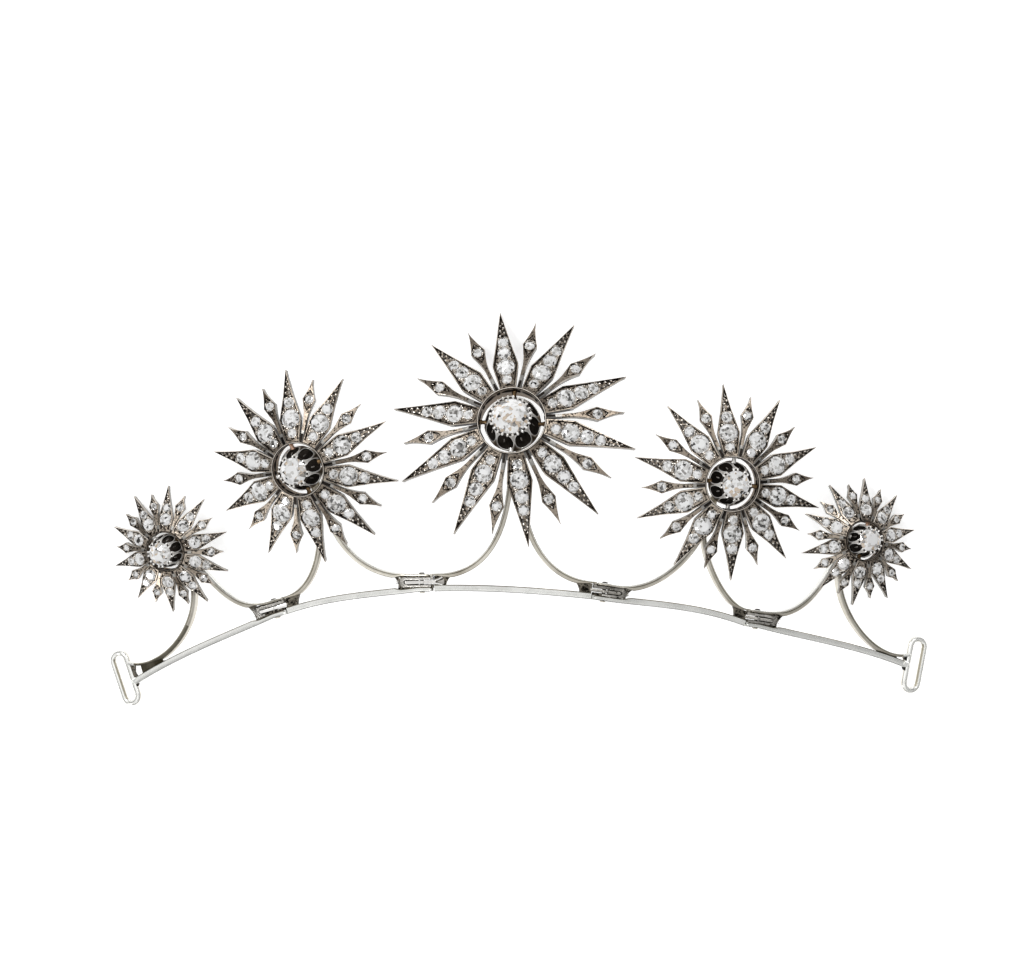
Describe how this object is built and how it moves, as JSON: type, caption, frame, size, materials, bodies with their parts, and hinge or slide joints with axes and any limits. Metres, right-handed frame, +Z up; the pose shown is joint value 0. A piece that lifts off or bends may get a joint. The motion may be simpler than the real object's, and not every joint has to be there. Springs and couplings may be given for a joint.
{
  "type": "star diadem",
  "caption": "Hinged diadem of graduated domed starbursts set with old-cut stones, on a flat-wire frame in folding sections with a wire loop at each end.",
  "frame": {"origin": "on the floor, under the middle of the box round the whole piece as it lies on its back", "axes": "+X to the viewer's right along the band, +Y along the floor from the base bar toward the tips of the middle star, +Z up, the way the stars face"},
  "size_m": [0.181, 0.0888, 0.0325],
  "materials": {
    "white_metal": "polished white gold or silver, slightly warm, dull at the solder joints",
    "dark_silver": "silver darkened by age, with bright rims",
    "main_stone": "clear old-cut stone with dark and warm flashes",
    "ray_stone": "small clear old-cut stones"
  },
  "bodies": {
    "centre": {"frame_centre": "white_metal", "star_centre": "dark_silver", "stone_centre": "main_stone", "ray_stones_centre": "ray_stone"},
    "mid_left": {"frame_mid_left": "white_metal", "pin_mid_left": "white_metal", "star_mid_left": "dark_silver", "stone_mid_left": "main_stone", "ray_stones_mid_left": "ray_stone"},
    "mid_right": {"frame_mid_right": "white_metal", "pin_mid_right": "white_metal", "star_mid_right": "dark_silver", "stone_mid_right": "main_stone", "ray_stones_mid_right": "ray_stone"},
    "end_left": {"frame_end_left": "white_metal", "pin_end_left": "white_metal", "star_end_left": "dark_silver", "stone_end_left": "main_stone", "ray_stones_end_left": "ray_stone"},
    "end_right": {"frame_end_right": "white_metal", "pin_end_right": "white_metal", "star_end_right": "dark_silver", "stone_end_right": "main_stone", "ray_stones_end_right": "ray_stone"}
  },
  "joints": [
    {"name": "hinge_mid_left", "type": "hinge", "parent": "centre", "child": "mid_left", "pos_m": [-0.02122, -0.00932, 0.02399], "axis": [0.021, -0.9431, 0.3318], "range_deg": [0, 28]},
    {"name": "hinge_mid_right", "type": "hinge", "parent": "centre", "child": "mid_right", "pos_m": [0.01784, -0.01119, 0.02525], "axis": [0.1443, 0.9343, -0.3261], "range_deg": [0, 28]},
    {"name": "hinge_end_left", "type": "hinge", "parent": "mid_left", "child": "end_left", "pos_m": [-0.05305, -0.01808, 0.01598], "axis": [0.2582, -0.8825, 0.3931], "range_deg": [0, 28]},
    {"name": "hinge_end_right", "type": "hinge", "parent": "mid_right", "child": "end_right", "pos_m": [0.0513, -0.02044, 0.01785], "axis": [0.1608, 0.9302, -0.3299], "range_deg": [0, 28]}
  ]
}
